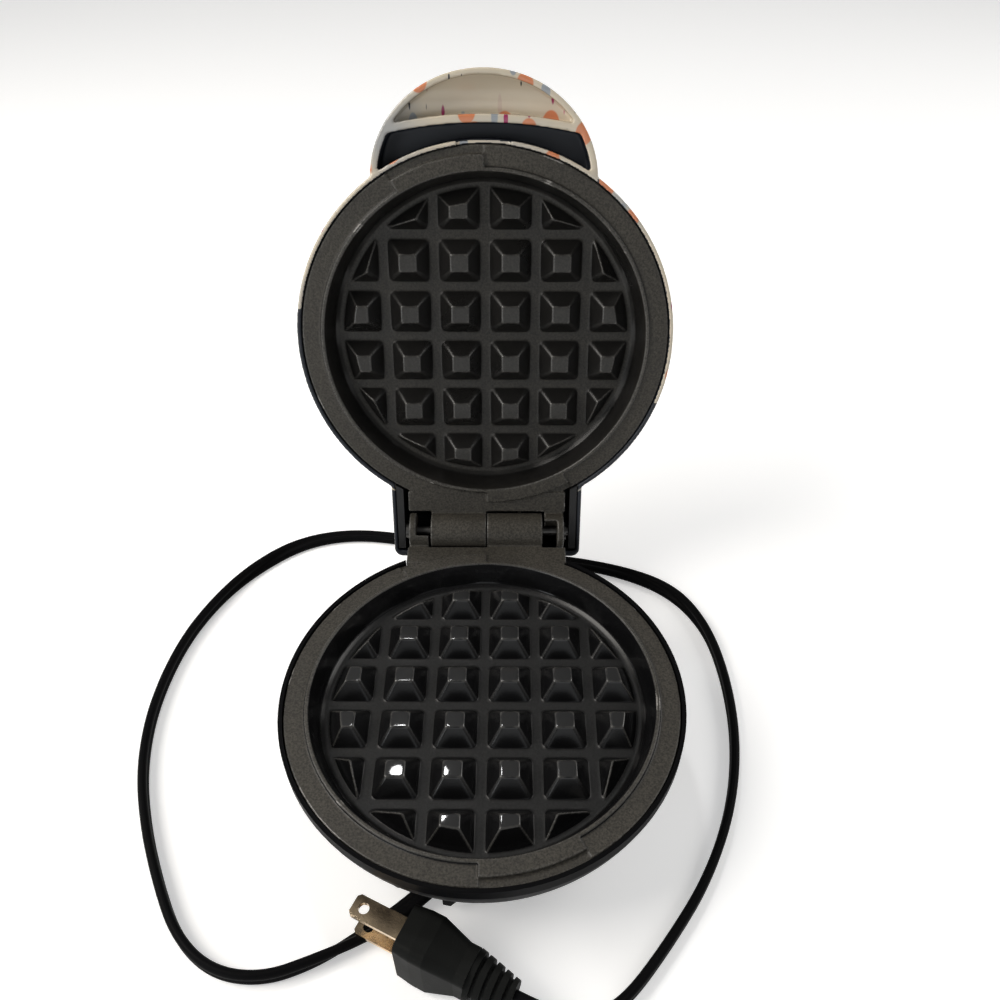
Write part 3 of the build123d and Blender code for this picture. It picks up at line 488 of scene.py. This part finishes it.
shell = {
    "voxel": 0.45 * mm,
    "softening": 0.5,
    "smoothing": 4,
    "keep": 0.4,
    "radius": 62.4,             # from here on in mm, in the closed lid's frame
    "straight": 6.0,
    "rise": 28.0,
    "squareness": 2.5,          # 2 is an ellipse, more is squarer
    "outerShare": 0.982,        # what lies nearer the middle than this share of the outline is inside
    "outsideShare": 1.012,      # what lies past this share belongs to the handle or the hood
    "trueing": 0.022,           # how near the dome's face a point is drawn onto it
    "crownTrueing": 0.05,       # the same on the crown of the dome
    "crownRadius": 42.0,
    "hoodSide": 33.3,
    "hoodBack": 79.3,
    "hoodTop": 21.3,
    "hoodFrom": 45.0,
    "hoodCorner": (71.3, 13.0, 8.0),  # the middle of its rounded edge, back and up, and its inner radius
    "slotCentre": (0.0, 75.0, 142.3),  # the bar's curve: its middle and radius
    "slotOutline": (33.3, 30.1, -50.0),  # the handle's inner outline: half width, depth and middle
    "slotFloor": 10.0,
    "slotLip": 1.3,
    "rimTop": 1.1,
    "rimInner": 61.2,
    "creamLeft": 80.0,          # degrees from the top of the rim that the cream reaches down
    "creamRight": 110.0,
}


def outlineShare(radius, height):
    # 1 on the dome's outer face, less inside it
    over = max(height - shell["straight"], 0.0) / shell["rise"]
    power = shell["squareness"]
    return ((radius / shell["radius"]) ** power + over ** power) ** (1 / power)


def inSlot(x, y, height):
    centreX, centreY, reach = shell["slotCentre"]
    halfWidth, depth, middle = shell["slotOutline"]
    if math.hypot(x - centreX, y - centreY) > reach or (x / halfWidth) ** 2 + ((y - middle) / depth) ** 2 > 1.0:
        return False
    return math.hypot(x, y) > shell["radius"] - 0.4 and shell["slotLip"] < height < shell["slotFloor"]


def isInner(x, y, height):
    # true on the moulding's black inside, in its finger slot and on the lower part of its rim
    radius = math.hypot(x, y)
    if y < 0 and inSlot(x, y, height):
        return True
    if height < shell["rimTop"] and radius < shell["radius"] + 0.3:
        fromTop = math.degrees(math.atan2(abs(x), -y))
        return radius < shell["rimInner"] or fromTop > (shell["creamRight"] if x > 0 else shell["creamLeft"])
    share = outlineShare(radius, height)
    if share < shell["outerShare"]:
        return True
    if y < shell["hoodFrom"] or share < shell["outsideShare"]:
        return False
    if height < shell["rimTop"]:
        return True
    cornerY, cornerZ, cornerRadius = shell["hoodCorner"]
    if y > cornerY and height > cornerZ:
        return math.hypot(y - cornerY, height - cornerZ) < cornerRadius and abs(x) < shell["hoodSide"]
    return abs(x) < shell["hoodSide"] and y < shell["hoodBack"] and height < shell["hoodTop"]


def mouldShell():
    # the lid's moulding with its edges broken, its dome trued, printed outside and black inside
    piece = copyOf("lidShell", "lid_shell")
    weld(piece)
    roundOff(piece, shell)
    own = closedFrame(True)
    back = own.inverted()
    inner = []
    for vertex in piece.data.vertices:
        place = (own @ vertex.co) / mm
        radius = math.hypot(place.x, place.y)
        inner.append(1.0 if isInner(place.x, place.y, -place.z) else 0.0)
        share = outlineShare(radius, -place.z)
        reach = shell["crownTrueing"] if radius < shell["crownRadius"] else shell["trueing"]
        onDome = clamp((reach - abs(share - 1.0)) / reach * 2)
        if -place.z > shell["straight"] and onDome > 0:
            trued = place / share
            trued.z = -shell["straight"] + (place.z + shell["straight"]) / share
            vertex.co = back @ (place.lerp(trued, onDome) * mm)
    dress(piece, "printedShell", {"innerMask": inner}, "lid", "lid_shell")


mouldShell()


lead = {
    "width": 5.6 * mm,
    "thickness": 2.9 * mm,
    "length": 0.611,
    "sides": 28,                # corners of its section
    "web": 0.62,                # how thick the web between its two cores is, as a share of them
}
# places from the plate's centre, in mm over the table; it stands on its narrow side where the last value is 1
leadRoute = [
    (-13.80, -46.30, 5.60, 0), (-22.17, -52.84, 2.75, 0),
    (-34.5, -60.6, 2.4, 0.5), (-46.5, -67.2, 2.8, 1), (-60.0, -72.0, 2.8, 1),
    (-74.5, -70.2, 2.8, 1), (-86.5, -61.0, 2.8, 1), (-95.8, -46.2, 2.8, 1), (-105.6, -26.7, 2.8, 1),
    (-112.8, -6.0, 2.8, 1), (-115.6, 17.8, 2.8, 1), (-112.6, 44.6, 2.8, 1), (-104.4, 66.0, 2.8, 1),
    (-93.2, 82.8, 2.6, 0.7), (-77.6, 97.2, 1.9, 0.2), (-57.0, 102.8, 1.5, 0), (-32.3, 99.4, 1.5, 0),
    (-4.0, 91.2, 1.5, 0), (26.0, 88.4, 1.5, 0), (52.6, 82.4, 1.5, 0), (71.8, 71.4, 2.3, 0.5),
    (82.0, 53.6, 2.8, 1), (85.6, 31.8, 2.8, 1), (85.1, 5.9, 2.8, 1), (79.4, -19.5, 2.8, 1),
    (68.1, -43.2, 2.8, 1), (53.4, -62.6, 2.8, 1), (39.2, -78.4, 3.2, 1), (28.7, -83.4, 7.0, 1),
    (18.35, -83.04, 11.20, 1), (9.71, -78.86, 11.20, 1),
]


def onTable(place):
    x, y, z = place[:3]
    return Vector((x * mm, plateCentre.y + y * mm, z * mm))


def leadSection():
    # two round cores side by side with a web between them
    curve = bpy.data.curves.new("leadSection", "CURVE")
    curve.dimensions = "2D"
    count = lead["sides"]
    spline = curve.splines.new("POLY")
    spline.points.add(count - 1)
    half, core = lead["width"] / 2, lead["thickness"] / 2
    for index in range(count):
        turn = 2 * math.pi * index / count
        x = half * math.cos(turn)
        off = half - core
        reach = abs(x) - off
        y = math.sqrt(max(core * core - reach * reach, 0.0))
        y = max(y, lead["web"] * core) if abs(x) < off else y
        spline.points[index].co = (x, math.copysign(y, math.sin(turn)), 0, 1)
    spline.use_cyclic_u = True
    section = bpy.data.objects.new("leadSectionShape", curve)
    bpy.context.scene.collection.objects.link(section)
    section.hide_render = True
    return section


def layLead():
    curve = bpy.data.curves.new("powerLead", "CURVE")
    curve.dimensions = "3D"
    curve.twist_mode = "Z_UP"
    curve.resolution_u = 10
    spline = curve.splines.new("NURBS")
    spline.points.add(len(leadRoute) - 1)
    for point, place in zip(spline.points, leadRoute):
        point.co = (*onTable(place), 1)
        point.tilt = math.radians(90) * place[3]
    spline.order_u = 3
    spline.use_endpoint_u = True
    curve.bevel_mode = "OBJECT"
    curve.bevel_object = leadSection()
    curve.use_fill_caps = True
    piece = bpy.data.objects.new("powerLead", curve)
    bpy.context.scene.collection.objects.link(piece)
    curve.materials.append(finishes["leadBlack"])
    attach(piece, "base")
    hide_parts("power_cord")
    print("lead", len(leadRoute), "points")


layLead()


camera = {
    # angles in degrees, lens in mm
    "place": plateCentre + Vector((7.63, -161.82, 231.38)) * mm,
    "tilt": 46.288,
    "roll": -0.112,
    "turn": 0.063,
    "lens": 32.346,
    "sensor": 36.0,
    "shift": (-0.0084, 0.0105),
}


def setCamera():
    data = bpy.data.cameras.new("studioCamera")
    data.sensor_width = camera["sensor"]
    data.lens = camera["lens"]
    data.shift_x, data.shift_y = camera["shift"]
    data.clip_start = 0.01
    made = bpy.data.objects.new("studioCamera", data)
    made.location = camera["place"]
    made.rotation_euler = [math.radians(camera[key]) for key in ("tilt", "roll", "turn")]
    bpy.context.scene.collection.objects.link(made)
    bpy.context.scene.camera = made


floorTone = {
    "halfSize": 4.0,            # in m
    "seen": colour(0.98, 0.98, 0.98),
    "bounced": colour(0.42, 0.42, 0.42),
    "lift": colour(0.36, 0.36, 0.36),
}


def seenDirectly(tree):
    rays = add(tree, "ShaderNodeLightPath").outputs
    either = add(tree, "ShaderNodeMath", {0: rays["Is Camera Ray"], 1: rays["Is Glossy Ray"]}, operation="MAXIMUM")
    return add(tree, "ShaderNodeMath", {0: either.outputs[0], 1: rays["Is Transmission Ray"]},
               operation="MAXIMUM").outputs[0]


def layFloor():
    mesh = bpy.data.meshes.new("studioFloor")
    size = floorTone["halfSize"]
    mesh.from_pydata([(-size, -size, 0), (size, -size, 0), (size, size, 0), (-size, size, 0)], [], [(0, 1, 2, 3)])
    floor = bpy.data.objects.new("studioFloor", mesh)
    bpy.context.scene.collection.objects.link(floor)
    material, tree = newTree("studioFloor")
    seen = seenDirectly(tree)
    tone = mixColour(tree, seen, floorTone["bounced"], floorTone["seen"])
    lift = mixColour(tree, seen, colour(0, 0, 0), floorTone["lift"])
    shader = add(tree, "ShaderNodeBsdfPrincipled", {"Base Color": tone, "Roughness": 0.7, "Emission Color": lift,
                                                    "Emission Strength": 1.0, "Specular IOR Level": 0.2})
    add(tree, "ShaderNodeOutputMaterial", {"Surface": shader.outputs["BSDF"]})
    mesh.materials.append(material)


lamps = {
    # place from the plate's centre in m, width in m, power in W, shape, tint
    "keySoftbox": ((-0.62, -0.05, 0.62), 0.50, 5.6, "SQUARE", (1.0, 0.96, 0.90)),
    "rightSoftbox": ((0.80, 0.30, 0.60), 0.50, 3.0, "SQUARE", (1.0, 0.98, 0.95)),
    "ceilingLamp": ((-0.120, 0.420, 0.80), 0.075, 0.9, "DISK", (1.0, 1.0, 1.0)),
    "frontFill": ((0.10, -0.85, 0.30), 0.50, 0.35, "SQUARE", (0.93, 0.97, 1.0)),
    "leftFront": ((-0.60, -0.70, 0.20), 0.30, 1.2, "SQUARE", (0.93, 0.97, 1.0)),
}
sky = {
    "horizon": 0.90,
    "overhead": 0.17,
    "from": 0.06,               # height of the view direction where the pale horizon ends
    "to": 0.42,
}


def setLight():
    world = bpy.data.worlds.new("studio")
    bpy.context.scene.world = world
    world.use_nodes = True
    tree = world.node_tree
    tree.nodes.clear()
    upward = add(tree, "ShaderNodeSeparateXYZ",
                 {"Vector": add(tree, "ShaderNodeTexCoord").outputs["Generated"]}).outputs["Z"]
    strength = mapRange(tree, upward, sky["from"], sky["to"], sky["horizon"], sky["overhead"])
    soft = add(tree, "ShaderNodeBackground", {"Color": colour(1, 1, 1), "Strength": strength})
    add(tree, "ShaderNodeOutputWorld", {"Surface": soft.outputs[0]})
    for name, (place, width, power, shape, tint) in lamps.items():
        data = bpy.data.lights.new(name, "AREA")
        data.shape = shape
        data.size = width
        data.energy = power
        data.color = tint
        lamp = bpy.data.objects.new(name, data)
        lamp.location = plateCentre + Vector(place)
        aim = plateCentre - lamp.location
        lamp.rotation_euler = aim.to_track_quat("-Z", "Y").to_euler()
        bpy.context.scene.collection.objects.link(lamp)
    bpy.context.scene.view_settings.view_transform = "Standard"
    print("lamps", len(lamps))


setCamera()
layFloor()
setLight()
